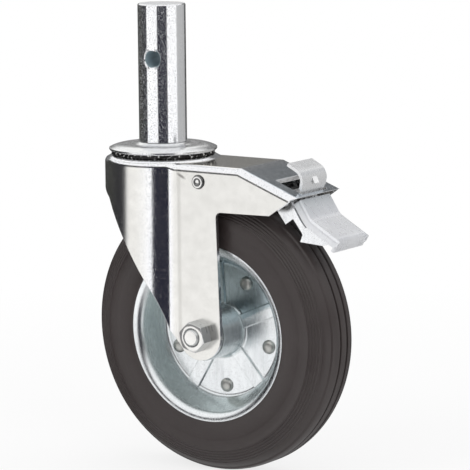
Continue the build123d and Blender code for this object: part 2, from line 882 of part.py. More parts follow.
# Release latch: strap through the deck window, curled forward at its free end.
# Its places are measured from the latch pin.
root_x, root_z = latch_pin_at
strap = (
    (root_x - latch_ear, root_z + latch_root_rise),
    (root_x + strap_foot_x, root_z + latch_root_rise),
    (root_x + strap_knee_x, root_z + strap_knee_z),
    (root_x + strap_curl_x, root_z + strap_curl_z),
    (root_x + strap_end_x, root_z + strap_end_z),
)
with BuildPart() as release_latch:
    add(
        side_plate(
            ribbon(strap, strap_bends, latch_sheet, Side.RIGHT),
            -latch_half,
            latch_half,
        )
    )
    # the root is narrower, to turn between the lever's flanges
    with BuildSketch(Plane.XY.offset(root_z - latch_ear)):
        with Locations((root_x, 0)):
            Rectangle(60, 4 * latch_half)
            Rectangle(60, 2 * latch_root_half, mode=Mode.SUBTRACT)
    extrude(amount=latch_ear + latch_root_rise + slit_room, mode=Mode.SUBTRACT)
    ear_side = outline_of(
        (
            (root_x - latch_ear, root_z),
            (root_x + latch_ear, root_z),
            (root_x + latch_ear + ear_slant, root_z + latch_root_rise - latch_sheet / 2),
            (root_x - latch_ear, root_z + latch_root_rise - latch_sheet / 2),
        )
    )
    add(mirrored_plate(ear_side, latch_root_half - latch_sheet, latch_root_half))
    for side in (-1, 1):
        ear = side * latch_root_half
        inner = side * (latch_root_half - latch_sheet)
        add(cross_bar(latch_pin_at, latch_ear, min(ear, inner), max(ear, inner)))
    # tongue pressed out of the strap, its free end down
    with BuildSketch(Plane.YZ.offset(root_x - latch_ear)):
        with Locations((0, root_z + tongue_root_z - tongue_drop / 2)):
            Rectangle(tongue_w + 2 * clear_gap, tongue_drop)
    extrude(amount=30, mode=Mode.SUBTRACT)
    lance = (
        (root_x + tongue_in, root_z + tongue_root_z + tongue_root),
        (root_x + tongue_in + tongue_edge, root_z + tongue_root_z + tongue_root),
        (root_x + tongue_out, root_z + tongue_root_z - tongue_drop),
        (root_x + tongue_out - tongue_edge, root_z + tongue_root_z - tongue_drop),
    )
    add(side_plate(outline_of(lance), -tongue_w / 2, tongue_w / 2))
    add(cross_bar(latch_pin_at, latch_pin_r + run_gap, -fork_half, fork_half), mode=Mode.SUBTRACT)
release_latch.part.label = "release_latch"


def torsion_spring(place, coil_r, wire_r, turns, leg_tips):
    """Coil along Y round a side-view place; its wire runs on from each end, then bends to a tip."""
    pitch = 2 * wire_r + clear_gap
    length = turns * pitch
    axis_plane = Plane(origin=(place[0], -length / 2, place[1]), x_dir=(0, 0, -1), z_dir=(0, 1, 0))
    turns_line = axis_plane.location * Helix(pitch=pitch, height=length, radius=coil_r)
    ends = ((turns_line @ 0, -(turns_line % 0)), (turns_line @ 1, turns_line % 1))
    with BuildPart() as coil:
        with BuildSketch(Plane(origin=turns_line @ 0, z_dir=turns_line % 0)):
            Circle(wire_r)
        sweep(path=turns_line, is_frenet=True)
        for (end, way), leg_tip in zip(ends, leg_tips):
            bend = end + way * (coil_r + wire_r)
            tip = Vector(leg_tip[0], bend.Y, leg_tip[1])
            with BuildSketch(Plane(origin=end, z_dir=way)):
                Circle(wire_r)
            extrude(amount=coil_r + wire_r)
            with Locations(bend):
                Sphere(wire_r)
            with BuildSketch(Plane(origin=bend, z_dir=tip - bend)):
                Circle(wire_r)
            extrude(amount=(tip - bend).length)
    return coil.part


# Brake spring: one leg under the lever's web, the other under the deck
brake_coil_r = pivot_r + clear_gap + spring_wire_r
brake_spring = torsion_spring(
    (pivot_x, pivot_z),
    brake_coil_r,
    spring_wire_r,
    spring_turns,
    (
        (pivot_x + spring_reach, web_top - lever_sheet - spring_wire_r - 3 * clear_gap),
        (pivot_x - brake_coil_r - 3 * spring_wire_r, deck_under - spring_wire_r - 3 * clear_gap),
    ),
)
brake_spring.label = "brake_spring"

# Latch spring: one leg under the latch's root, the other under the lever's web
latch_coil_r = latch_pin_r + clear_gap + latch_wire_r
latch_spring = torsion_spring(
    latch_pin_at,
    latch_coil_r,
    latch_wire_r,
    latch_turns,
    (
        (
            root_x + latch_coil_r + 3,
            root_z + latch_root_rise - latch_sheet - latch_wire_r - clear_gap,
        ),
        (web_end[0] - 1, web_end[1] - lever_sheet - latch_wire_r - 2 * clear_gap),
    ),
)
latch_spring.label = "latch_spring"

castor = (
    stem.part,
    top_plate.part,
    race_seal.part,
    upper_balls,
    lower_balls,
    lower_race_cup.part,
    swivel_lock_ring.part,
    fork_housing.part,
    axle_bolt.part,
    axle_nut.part,
    axle_sleeve.part,
    brake_pivot_pin.part,
    brake_spring,
    tyre.part,
    rim_near,
    rim_far,
    rim_rivets.part,
    hub_tube.part,
    hub_rollers.part,
    roller_cage.part,
    hub_cap_near,
    hub_cap_far,
    brake_lever.part,
    pedal_cover.part,
    latch_pin.part,
    latch_spring,
    release_latch.part,
)
os.makedirs("parts", exist_ok=True)
for piece in castor:
    export_step(piece, f"parts/{piece.label}.step")
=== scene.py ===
from math import cos, degrees, exp, floor, pi, radians, sin, tan, tau

import bmesh
import bpy
from mathutils import Matrix, Vector


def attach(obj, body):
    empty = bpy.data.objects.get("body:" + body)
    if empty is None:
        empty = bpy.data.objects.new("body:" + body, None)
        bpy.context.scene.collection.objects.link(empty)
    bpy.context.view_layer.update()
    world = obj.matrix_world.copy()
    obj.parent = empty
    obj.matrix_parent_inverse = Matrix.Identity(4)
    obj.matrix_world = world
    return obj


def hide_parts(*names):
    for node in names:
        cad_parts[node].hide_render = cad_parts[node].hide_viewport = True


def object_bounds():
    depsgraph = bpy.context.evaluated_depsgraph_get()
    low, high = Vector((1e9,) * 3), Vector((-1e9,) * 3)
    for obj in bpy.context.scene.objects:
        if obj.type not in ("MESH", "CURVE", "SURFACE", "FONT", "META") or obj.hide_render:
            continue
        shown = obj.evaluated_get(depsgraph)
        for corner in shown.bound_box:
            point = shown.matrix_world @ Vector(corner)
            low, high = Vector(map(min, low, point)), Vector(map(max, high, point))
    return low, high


# Scaffold castor: stem up the z axis, pedal towards +x, the wheel's axle along y.
# Lengths in the dictionaries are millimetres unless a note says otherwise.

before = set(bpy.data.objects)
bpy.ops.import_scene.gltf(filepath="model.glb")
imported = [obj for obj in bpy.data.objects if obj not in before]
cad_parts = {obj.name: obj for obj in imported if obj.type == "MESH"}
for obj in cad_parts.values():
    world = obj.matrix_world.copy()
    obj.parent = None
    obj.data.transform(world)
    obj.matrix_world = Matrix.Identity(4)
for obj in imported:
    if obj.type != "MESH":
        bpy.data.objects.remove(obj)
cadBox = [list(corner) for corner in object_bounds()]
print("frame loaded,", len(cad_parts), "nodes")

mm = 0.001
wheel = {"x": 50.5, "z": -131.0, "tread": 100.0, "halfWidth": 22.0}
pivot = {"x": 51.0, "z": -22.4}
pinHole = {"z": 59.5, "radius": 6.0}
stemRadius = 17.0
forkHalf = 31.0  # outer face of the side plates
white = (1.0, 1.0, 1.0)


# Node helpers

def blankMaterial(name):
    material = bpy.data.materials.new(name)
    material.use_nodes = True
    tree = material.node_tree
    return material, tree, tree.nodes["Principled BSDF"]


def objectPlace(tree, stretch=(1, 1, 1)):
    coords = tree.nodes.new("ShaderNodeTexCoord")
    mapping = tree.nodes.new("ShaderNodeMapping")
    mapping.inputs["Scale"].default_value = stretch
    tree.links.new(coords.outputs["Object"], mapping.inputs["Vector"])
    return mapping.outputs["Vector"]


def noise(tree, place, scale, detail, rough=0.5):
    node = tree.nodes.new("ShaderNodeTexNoise")
    node.inputs["Scale"].default_value = scale
    node.inputs["Detail"].default_value = detail
    node.inputs["Roughness"].default_value = rough
    tree.links.new(place, node.inputs["Vector"])
    return node.outputs[0]


def ringNoise(tree, radius, scale):
    # one-dimensional noise along the radius, for turned and moulded rings
    node = tree.nodes.new("ShaderNodeTexNoise")
    node.noise_dimensions = "1D"
    node.inputs["Scale"].default_value = scale
    node.inputs["Detail"].default_value = 2
    tree.links.new(radius, node.inputs["W"])
    return node.outputs[0]


def spread(tree, value, low, high, fromLow=0.3, fromHigh=0.7):
    # low at fromLow and high at fromHigh; noise mostly lies between 0.3 and 0.7
    node = tree.nodes.new("ShaderNodeMapRange")
    node.inputs["From Min"].default_value = fromLow
    node.inputs["From Max"].default_value = fromHigh
    node.inputs["To Min"].default_value = low
    node.inputs["To Max"].default_value = high
    tree.links.new(value, node.inputs["Value"])
    return node.outputs["Result"]


def maths(tree, operation, first, second=None):
    node = tree.nodes.new("ShaderNodeMath")
    node.operation = operation
    for socket, value in zip(node.inputs, (first, second)):
        if isinstance(value, (int, float)):
            socket.default_value = value
        elif value is not None:
            tree.links.new(value, socket)
    return node.outputs[0]


def times(tree, first, second):
    return maths(tree, "MULTIPLY", first, second)


def distance(tree, first, second):
    squares = [maths(tree, "POWER", part, 2) for part in (first, second)]
    return maths(tree, "SQRT", maths(tree, "ADD", *squares))


def blendColour(tree, factor, first, second):
    node = tree.nodes.new("ShaderNodeMix")
    node.data_type = "RGBA"
    # the factor, then the two colours; the sockets between them belong to other kinds
    sockets = node.inputs[0], node.inputs[6], node.inputs[7]
    for socket, value in zip(sockets, (factor, first, second)):
        if isinstance(value, tuple):
            socket.default_value = (*value, 1)
        else:
            tree.links.new(value, socket)
    return node.outputs[2]


def ramp(tree, value, stops):
    # stops are (place, strength) pairs, a strength being one grey or three colour parts
    node = tree.nodes.new("ShaderNodeValToRGB")
    bar = node.color_ramp
    bar.elements[0].position, bar.elements[1].position = stops[0][0], stops[-1][0]
    for place, strength in stops[1:-1]:
        bar.elements.new(place)
    for element, (place, strength) in zip(bar.elements, stops):
        element.color = (*(strength if isinstance(strength, tuple) else (strength,) * 3), 1)
    tree.links.new(value, node.inputs["Fac"])
    return node.outputs["Color"]


def bump(tree, height, depth, normal=None):
    node = tree.nodes.new("ShaderNodeBump")
    node.inputs["Strength"].default_value = 1
    node.inputs["Distance"].default_value = depth * mm
    tree.links.new(height, node.inputs["Height"])
    if normal is not None:
        tree.links.new(normal, node.inputs["Normal"])
    return node.outputs["Normal"]


def roundedEdges(tree, radius):
    # every sheet edge is broken a little, which catches the light
    node = tree.nodes.new("ShaderNodeBevel")
    node.samples = 4
    node.inputs["Radius"].default_value = radius * mm
    return node.outputs["Normal"]


def axes(tree, kind="Object"):
    # the x, y and z parts of a place on the object, or of its normal
    coords = tree.nodes.new("ShaderNodeTexCoord")
    split = tree.nodes.new("ShaderNodeSeparateXYZ")
    tree.links.new(coords.outputs[kind], split.inputs["Vector"])
    return split.outputs["X"], split.outputs["Y"], split.outputs["Z"]


def fromMiddle(tree, kind="Object"):
    # how far to either side of the castor's middle plane
    return maths(tree, "ABSOLUTE", axes(tree, kind)[1])


def across(tree, centre):
    # sideways and upward distance in millimetres from an axis that runs along y
    x, y, z = axes(tree)
    side = maths(tree, "SUBTRACT", times(tree, x, 1 / mm), float(centre["x"]))
    up = maths(tree, "SUBTRACT", times(tree, z, 1 / mm), float(centre["z"]))
    return side, up


def radiusFrom(tree, centre):
    return distance(tree, *across(tree, centre))


def band(tree, value, start, stop, soft):
    # one between start and stop, fading out over soft on both sides
    rise = spread(tree, value, 0, 1, start - soft, start)
    fall = spread(tree, value, 1, 0, stop, stop + soft)
    return times(tree, rise, fall)


def inMetres(*lengths):
    return [length * mm for length in lengths]


# Finishes

# What a zinc finish has unless its own dictionary says otherwise
zincUsual = {
    "cloudScale": 22, "streak": (40, 40, 6), "edge": 0.35, "wave": 0.03, "metal": 1.0,
    "speckFrom": (0.55, 0.62), "speckColour": (0.62, 0.63, 0.65), "speckDull": 0.1, "pitFrom": (0.52, 0.74),
    "ringRough": (-0.04, 0.06), "sideFrom": (0.93, 0.995), "mottleFrom": (0.36, 0.64), "sideDull": 0.3,
    "patches": [], "rougher": [],
}


def zinc(name, own):
    look = {**zincUsual, **own}
    material, tree, shader = blankMaterial(name)
    place = objectPlace(tree)
    cloud = noise(tree, place, look["cloudScale"], detail=5)
    grain = noise(tree, place, look["grainScale"], detail=2, rough=0.65)
    streak = noise(tree, objectPlace(tree, look["streak"]), scale=6, detail=4)
    colour = blendColour(tree, spread(tree, cloud, 0, 1), look["colour"], look["shade"])
    speck = spread(tree, grain, 0, 1, *look["speckFrom"])
    colour = blendColour(tree, times(tree, speck, look["speck"]), colour, look["speckColour"])
    rough = spread(tree, streak, *look["rough"])
    pits = spread(tree, grain, 0, 1, *look["pitFrom"])
    normal = bump(tree, cloud, look["wave"], roundedEdges(tree, look["edge"]))
    if "rings" in look:
        rings = ringNoise(tree, radiusFrom(tree, wheel), look["rings"])
        normal = bump(tree, rings, look["ringDepth"], normal)
        rough = maths(tree, "ADD", rough, spread(tree, rings, *look["ringRough"]))
    if "sideColour" in look:
        # faces square to the axle are paler and softer than the drawn and cut ones
        flat = spread(tree, fromMiddle(tree, "Normal"), 0, 1, *look["sideFrom"])
        patchy = noise(tree, place, look["sideScale"], detail=4, rough=0.6)
        mottle = spread(tree, patchy, 0, 1, *look["mottleFrom"])
        mottled = blendColour(tree, mottle, look["sideColour"], look["sideShade"])
        colour = blendColour(tree, flat, colour, mottled)
        drawn = times(tree, rough, maths(tree, "SUBTRACT", 1, flat))
        rough = maths(tree, "ADD", drawn, times(tree, flat, look["sideRough"]))
        pits = times(tree, pits, spread(tree, flat, 1, look["sidePits"], 0, 1))
    for patch, tint in look["patches"]:
        colour = blendColour(tree, patch(tree), colour, tint)
    for patch, amount in look["rougher"]:
        rough = maths(tree, "ADD", rough, times(tree, patch(tree), amount))
    # specks and dull places show the soft light instead of the room
    dull = times(tree, speck, look["speckDull"])
    if "dull" in look:
        dull = maths(tree, "MAXIMUM", dull, look["dull"](tree))
    if "sideColour" in look:
        dull = times(tree, dull, spread(tree, flat, 1, look["sideDull"], 0, 1))
    tree.links.new(maths(tree, "SUBTRACT", look["metal"], dull), shader.inputs["Metallic"])
    tree.links.new(colour, shader.inputs["Base Color"])
    tree.links.new(rough, shader.inputs["Roughness"])
    tree.links.new(bump(tree, pits, look["pitDepth"], normal), shader.inputs["Normal"])
    return material


rubberUsual = {"dustFrom": (0.55, 0.8), "ringRough": (-0.05, 0.05)}


def rubber(name, own):
    look = {**rubberUsual, **own}
    material, tree, shader = blankMaterial(name)
    place = objectPlace(tree)
    cloud = noise(tree, place, look["cloudScale"], detail=5)
    grain = noise(tree, place, look["grainScale"], detail=3, rough=0.6)
    colour = blendColour(tree, spread(tree, cloud, 0, 1), look["colour"], look["shade"])
    # specks: dust on the tyre and the cage, painted glints on the seal
    dust = spread(tree, grain, 0, look["dust"], *look["dustFrom"])
    colour = blendColour(tree, dust, colour, look["dustColour"])
    rough = spread(tree, cloud, *look["rough"])
    normal = bump(tree, grain, look["grainDepth"])
    if "rings" in look:
        rings = ringNoise(tree, radiusFrom(tree, wheel), look["rings"])
        normal = bump(tree, rings, look["ringDepth"], normal)
        rough = maths(tree, "ADD", rough, spread(tree, rings, *look["ringRough"]))
    shader.inputs["Specular IOR Level"].default_value = look["gloss"]
    tree.links.new(colour, shader.inputs["Base Color"])
    tree.links.new(rough, shader.inputs["Roughness"])
    tree.links.new(normal, shader.inputs["Normal"])
    return material


# Places that differ from the rest of a piece: painted shade lines and rings, a hole's wall with painted shade
# and reflection, painted highlights, painted reflection tints, and the rim's own deeper tint on its wall and
# neck

stemPlaces = {
    "wallDepth": (1.3, 0.9),  # how far under the surface the hole's wall starts
    "wallReach": 2,
    "footLine": (0.0, 0.4),
    "footAmount": 0.6,
    "topFacing": (0.9, 0.99),
}


# the cross hole's wall: the stem is painted blue-grey there, a painted shade and reflection inside the hole
def insideStemHole(tree):
    x, y, z = axes(tree)
    full, none = stemPlaces["wallDepth"]
    deep = spread(tree, distance(tree, x, y), 1, 0, *inMetres(stemRadius - full, stemRadius - none))
    reach = pinHole["radius"] + stemPlaces["wallReach"]
    return times(tree, deep, band(tree, z, *inMetres(pinHole["z"] - reach, pinHole["z"] + reach), mm))


def stemFootShade(tree):
    # painted shade: a dark line where the plate's collar meets the stem
    line = spread(tree, axes(tree)[2], 1, 0, *inMetres(*stemPlaces["footLine"]))
    return times(tree, line, stemPlaces["footAmount"])


def stemTop(tree):
    return spread(tree, axes(tree, "Normal")[2], 0, 1, *stemPlaces["topFacing"])


forkPlaces = {
    "sideDepth": (0.4, 0.1),
    "crease": (33.8, 35.0, 1.6),
    "creaseAmount": 0.55,
    "foldShadowAt": {"x": 36.5, "z": -19.2},
    "foldShadowAlong": (0.18, -0.086),  # per millimetre sideways and up
    "foldShadowCross": (0.30, 0.62),
    "foldShadowFade": (0.3, 1.0),
    "foldShadowAmount": 0.8,
    "levelFacing": (0.97, 0.995),
    "levelEnd": (78, 90),
    "slopeFacing": (0.88, 0.925),
    "slopeStart": (80, 92),
}


def onSide(tree):
    none, full = forkPlaces["sideDepth"]
    return spread(tree, fromMiddle(tree), 0, 1, *inMetres(forkHalf - none, forkHalf - full))


def sideCreaseShade(tree):
    # the flat of the side plate starts here, with a faint line of painted shade
    line = band(tree, axes(tree)[0], *inMetres(*forkPlaces["crease"]))
    return times(tree, times(tree, line, onSide(tree)), forkPlaces["creaseAmount"])


def tilted(tree, side, up, slopes):
    return maths(tree, "ADD", times(tree, side, slopes[0]), times(tree, up, slopes[1]))


def foldShadow(tree):
    # painted shadow: a short slanting dark mark below the deck's fold
    side, up = across(tree, forkPlaces["foldShadowAt"])
    along = tilted(tree, side, up, forkPlaces["foldShadowAlong"])
    cross = tilted(tree, side, up, forkPlaces["foldShadowCross"])
    mark = spread(tree, distance(tree, along, cross), forkPlaces["foldShadowAmount"], 0, *forkPlaces["foldShadowFade"])
    return times(tree, mark, onSide(tree))


# painted reflection: the level deck is painted warmer and the sloping deck bluer and darker, for the part of
# the room each reflects
def levelDeckReflection(tree):
    level = spread(tree, axes(tree, "Normal")[2], 0, 1, *forkPlaces["levelFacing"])
    return times(tree, level, spread(tree, axes(tree)[0], 1, 0, *inMetres(*forkPlaces["levelEnd"])))


def slopingDeckReflection(tree):
    sloping = spread(tree, axes(tree, "Normal")[2], 0, 1, *forkPlaces["slopeFacing"])
    return times(tree, sloping, spread(tree, axes(tree)[0], 0, 1, *inMetres(*forkPlaces["slopeStart"])))


# painted shade rings round the brake pivot: start, stop, how softly they fade, and how strong they are. The
# groove ring is painted shade on the side plate round the rivet head, the edge and dimple rings painted shade
# on the head
pivotShadeRings = {
    "groove": (4.55, 5.1, 0.12, 0.85),
    "edge": (4.2, 4.8, 0.2, 0.9),
    "dimple": (1.9, 2.75, 0.35, 0.9),
}


def pivotRing(tree, ring):
    start, stop, soft, amount = pivotShadeRings[ring]
    return times(tree, band(tree, radiusFrom(tree, pivot), start, stop, soft), amount)


def pivotGapShade(tree):
    return pivotRing(tree, "groove")


def pivotEdgeShade(tree):
    return pivotRing(tree, "edge")


def pivotDimpleShade(tree):
    return pivotRing(tree, "dimple")


rimPlaces = {
    "sector": (27.0, 93.0, 3.0),  # degrees
    "web": (19.5, 50.0, 1.5),
    "wall": (50.5, 55.5, 3.0),
    "neck": (19.0, 21.5),
    "amount": 0.9,
    "dullness": 0.32,
}


def turnRound(tree, side, up):
    return times(tree, maths(tree, "ARCTAN2", up, side), 180 / pi)


def webSectorShade(tree):
    # painted reflection and shade: one part of the near web, between two ribs, is painted darker and bluer,
    # standing for the dark fork and tyre it reflects
    web = band(tree, radiusFrom(tree, wheel), *rimPlaces["web"])
    return times(tree, band(tree, turnRound(tree, *across(tree, wheel)), *rimPlaces["sector"]), web)


def rimWall(tree):
    return times(tree, band(tree, radiusFrom(tree, wheel), *rimPlaces["wall"]), rimPlaces["amount"])


def rimNeck(tree):
    return spread(tree, radiusFrom(tree, wheel), rimPlaces["amount"], 0, *rimPlaces["neck"])


def rimHollow(tree):
    # the drawn wall and the neck are duller than the web
    return times(tree, maths(tree, "MAXIMUM", rimWall(tree), rimNeck(tree)), rimPlaces["dullness"])


pedalPlaces = {"top": (-43, -33), "topAmount": 0.6}


# painted shade: the pedal's upper end, under the deck's rear edge, is painted darker
def pedalTopShade(tree):
    return spread(tree, axes(tree)[2], 0, pedalPlaces["topAmount"], *inMetres(*pedalPlaces["top"]))


# The tongue stands out of the strap: past a slanting plane, between two heights and two sides
tonguePlaces = {
    "slant": 0.5,
    "out": (118.0, 118.4),
    "half": (3.05, 3.25),
    "heights": (-22.2, -16.9, 0.2),
    "faceFacing": (0.5, 0.8),
    "sideFacing": (0.6, 0.9),
    "sideAmount": 0.95,
}


def onTongue(tree):
    x, y, z = axes(tree)
    past = maths(tree, "ADD", x, times(tree, z, tonguePlaces["slant"]))
    out = spread(tree, past, 0, 1, *inMetres(*tonguePlaces["out"]))
    inside = spread(tree, fromMiddle(tree), 1, 0, *inMetres(*tonguePlaces["half"]))
    return times(tree, times(tree, out, inside), band(tree, z, *inMetres(*tonguePlaces["heights"])))


# painted highlight: the tongue's front is painted near white
def tongueFaceHighlight(tree):
    facing = spread(tree, axes(tree, "Normal")[0], 0, 1, *tonguePlaces["faceFacing"])
    return times(tree, onTongue(tree), facing)


# painted shade: the tongue's sides are painted near black, standing for the shaded slot round the tongue
def tongueSideShade(tree):
    amount, facing = tonguePlaces["sideAmount"], tonguePlaces["sideFacing"]
    return times(tree, onTongue(tree), spread(tree, fromMiddle(tree, "Normal"), 0, amount, *facing))


finishes = {
    "stem_zinc": zinc("stemZinc", {
        "colour": (0.95, 0.95, 0.96), "shade": (0.90, 0.91, 0.93), "speck": 1.0, "speckDull": 0.6,
        "speckFrom": (0.55, 0.60), "grainScale": 1500, "pitDepth": 0.012, "rough": (0.05, 0.10), "wave": 0.02,
        "streak": (60, 60, 3), "dull": insideStemHole,
        # painted shade and reflection on the hole's wall, and a painted shade line at the foot
        "patches": [(insideStemHole, (0.36, 0.45, 0.49)), (stemFootShade, (0.30, 0.31, 0.32))],
        "rougher": [(stemTop, 0.35), (insideStemHole, 0.5)],
    }),
    "plate_zinc": zinc("plateZinc", {
        "colour": (0.92, 0.92, 0.92), "shade": (0.86, 0.87, 0.88), "speck": 0.25,
        "grainScale": 1300, "pitDepth": 0.02, "rough": (0.16, 0.26), "wave": 0.05,
    }),
    "fork_zinc": zinc("forkZinc", {
        "colour": (0.95, 0.95, 0.96), "shade": (0.88, 0.89, 0.92), "speck": 0.6, "speckDull": 0.16,
        "speckFrom": (0.56, 0.66), "grainScale": 1100, "pitDepth": 0.02, "rough": (0.05, 0.12), "wave": 0.08,
        "streak": (50, 50, 5),
        "sideColour": (0.87, 0.86, 0.83), "sideShade": (0.80, 0.79, 0.76), "sideRough": 0.22,
        "sideScale": 95, "sidePits": 0.10,
        # fork patches: painted reflection on the decks, painted shade along the side crease, below the deck's
        # fold and round the rivet head
        "patches": [(levelDeckReflection, (1.0, 0.97, 0.88)), (slopingDeckReflection, (0.70, 0.75, 0.80)),
                    (sideCreaseShade, (0.62, 0.61, 0.58)), (foldShadow, (0.22, 0.21, 0.20)),
                    (pivotGapShade, (0.12, 0.12, 0.12))],
    }),
    "fastener_zinc": zinc("fastenerZinc", {
        "colour": (0.66, 0.67, 0.67), "shade": (0.58, 0.59, 0.59), "speck": 0.3, "metal": 0.72,
        "grainScale": 1500, "pitDepth": 0.01, "rough": (0.26, 0.38),
        "sideColour": (0.90, 0.89, 0.87), "sideShade": (0.80, 0.79, 0.77), "sideRough": 0.06,
        "sideScale": 160, "sidePits": 0.3,
        # painted shade rings on the rivet head's rounded edge and round its dimple
        "patches": [(pivotEdgeShade, (0.10, 0.10, 0.10)), (pivotDimpleShade, (0.12, 0.12, 0.12))],
    }),
    "rim_zinc": zinc("rimZinc", {
        "colour": (0.89, 0.91, 0.92), "shade": (0.83, 0.86, 0.88), "speck": 0.25,
        "grainScale": 1200, "pitDepth": 0.006, "rough": (0.18, 0.28), "wave": 0.04,
        "rings": 420, "ringDepth": 0.015, "dull": rimHollow,
        # the web sector is painted reflection and shade; the wall and neck tints are the rim's own
        "patches": [(rimWall, (0.58, 0.66, 0.66)), (webSectorShade, (0.46, 0.54, 0.57)),
                    (rimNeck, (0.62, 0.68, 0.70))],
    }),
    "rivet_zinc": zinc("rivetZinc", {
        "colour": (0.62, 0.62, 0.58), "shade": (0.46, 0.46, 0.44), "speck": 0.4,
        "grainScale": 1500, "pitDepth": 0.03, "rough": (0.24, 0.42),
    }),
    "lever_zinc": zinc("leverZinc", {
        "colour": (0.90, 0.91, 0.92), "shade": (0.82, 0.84, 0.86), "speck": 0.25,
        "grainScale": 1300, "pitDepth": 0.006, "rough": (0.14, 0.28), "wave": 0.06,
    }),
    "pedal_zinc": zinc("pedalZinc", {
        "colour": (0.86, 0.87, 0.89), "shade": (0.76, 0.77, 0.80), "speck": 0.05, "cloudScale": 60,
        # the pedal's upper end is painted shade
        "metal": 0.5, "patches": [(pedalTopShade, (0.52, 0.56, 0.58))],
        "grainScale": 1200, "pitDepth": 0.008, "rough": (0.24, 0.36), "wave": 0.08,
    }),
    "latch_zinc": zinc("latchZinc", {
        "colour": (0.84, 0.84, 0.85), "shade": (0.76, 0.77, 0.78), "speck": 0.08,
        # painted highlight on the tongue's front, painted shade on its sides
        "metal": 0.6, "patches": [(tongueFaceHighlight, (0.97, 0.97, 0.98)), (tongueSideShade, (0.03, 0.03, 0.03))],
        "dull": tongueFaceHighlight,
        "grainScale": 1300, "pitDepth": 0.004, "rough": (0.20, 0.32), "wave": 0.06,
    }),
    "hub_steel": zinc("hubSteel", {
        "colour": (0.56, 0.63, 0.66), "shade": (0.46, 0.53, 0.56), "speck": 0.3, "metal": 0.6,
        "grainScale": 1400, "pitDepth": 0.02, "rough": (0.22, 0.36),
        "rings": 700, "ringDepth": 0.02,
    }),
    "cap_zinc": zinc("capZinc", {
        "colour": (0.54, 0.61, 0.64), "shade": (0.44, 0.51, 0.54), "speck": 0.3, "metal": 0.6,
        "grainScale": 1400, "pitDepth": 0.02, "rough": (0.24, 0.38),
        "rings": 500, "ringDepth": 0.02,
    }),
    "race_steel": zinc("raceSteel", {
        "colour": (0.60, 0.60, 0.62), "shade": (0.50, 0.50, 0.52), "speck": 0.3,
        "grainScale": 1400, "pitDepth": 0.02, "rough": (0.20, 0.36),
    }),
    "bearing_steel": zinc("bearingSteel", {
        "colour": (0.72, 0.72, 0.73), "shade": (0.66, 0.66, 0.68), "speck": 0.15,
        "grainScale": 2200, "pitDepth": 0.004, "rough": (0.05, 0.12), "wave": 0.01, "edge": 0.05,
    }),
    "spring_steel": zinc("springSteel", {
        "colour": (0.42, 0.42, 0.43), "shade": (0.32, 0.32, 0.33), "speck": 0.3,
        "grainScale": 2000, "pitDepth": 0.01, "rough": (0.24, 0.42), "edge": 0.05,
    }),
    "seal_rubber": rubber("sealRubber", {
        # the seal's pale specks are painted glints
        "colour": (0.008, 0.007, 0.008), "shade": (0.018, 0.016, 0.016), "dust": 1.0,
        "dustFrom": (0.60, 0.64), "dustColour": (0.85, 0.85, 0.84), "cloudScale": 60, "grainScale": 480,
        "grainDepth": 0.06, "rough": (0.30, 0.45), "gloss": 0.4,
    }),
    "tyre_rubber": rubber("tyreRubber", {
        "colour": (0.037, 0.028, 0.027), "shade": (0.050, 0.040, 0.039), "dust": 0.25,
        "dustColour": (0.10, 0.092, 0.09), "cloudScale": 26, "grainScale": 1500,
        "grainDepth": 0.02, "rough": (0.32, 0.44), "gloss": 0.5,
        "rings": 900, "ringDepth": 0.03,
    }),
    "cage_plastic": rubber("cagePlastic", {
        "colour": (0.30, 0.31, 0.29), "shade": (0.24, 0.25, 0.23), "dust": 0.2,
        "dustColour": (0.16, 0.16, 0.15), "cloudScale": 60, "grainScale": 900,
        "grainDepth": 0.01, "rough": (0.36, 0.50), "gloss": 0.5,
    }),
}

nodeFinish = {
    "stem": "stem_zinc",
    "top_plate": "plate_zinc",
    "race_seal": "seal_rubber",
    "upper_balls": "bearing_steel",
    "lower_balls": "bearing_steel",
    "lower_race_cup": "race_steel",
    "swivel_lock_ring": "race_steel",
    "fork_housing": "fork_zinc",
    "axle_sleeve": "hub_steel",
    "brake_spring": "spring_steel",
    "rim_near": "rim_zinc",
    "rim_far": "rim_zinc",
    "hub_tube": "hub_steel",
    "hub_rollers": "bearing_steel",
    "roller_cage": "cage_plastic",
    "hub_cap_near": "cap_zinc",
    "hub_cap_far": "cap_zinc",
    "brake_lever": "lever_zinc",
    "pedal_cover": "pedal_zinc",
    "latch_pin": "fastener_zinc",
    "latch_spring": "spring_steel",
    "release_latch": "latch_zinc",
}
for node, finish in nodeFinish.items():
    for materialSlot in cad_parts[node].material_slots:
        materialSlot.material = finishes[finish]
print("finishes on", len(nodeFinish), "nodes")


# Turned pieces

def turnedMesh(rows, steps, centre, loop=False):
    # each row is a radius and a place along y, and either may be a function of the angle
    points = []
    for radius, along in rows:
        for k in range(steps):
            angle = tau * k / steps
            r = radius(angle) if callable(radius) else radius
            y = along(angle) if callable(along) else along
            points.append(((centre[0] + r * cos(angle)) * mm, y * mm, (centre[1] + r * sin(angle)) * mm))
    faces = []
    for row in range(len(rows) if loop else len(rows) - 1):
        start, end = row * steps, (row + 1) % len(rows) * steps
        faces += [(start + k, start + (k + 1) % steps, end + (k + 1) % steps, end + k) for k in range(steps)]
    if not loop:
        faces.append(tuple(range(steps)))
        faces.append(tuple(range((len(rows) - 1) * steps, len(rows) * steps)))
    return points, faces


def mirrored(rows):
    return [(r, -y) for r, y in reversed(rows)]


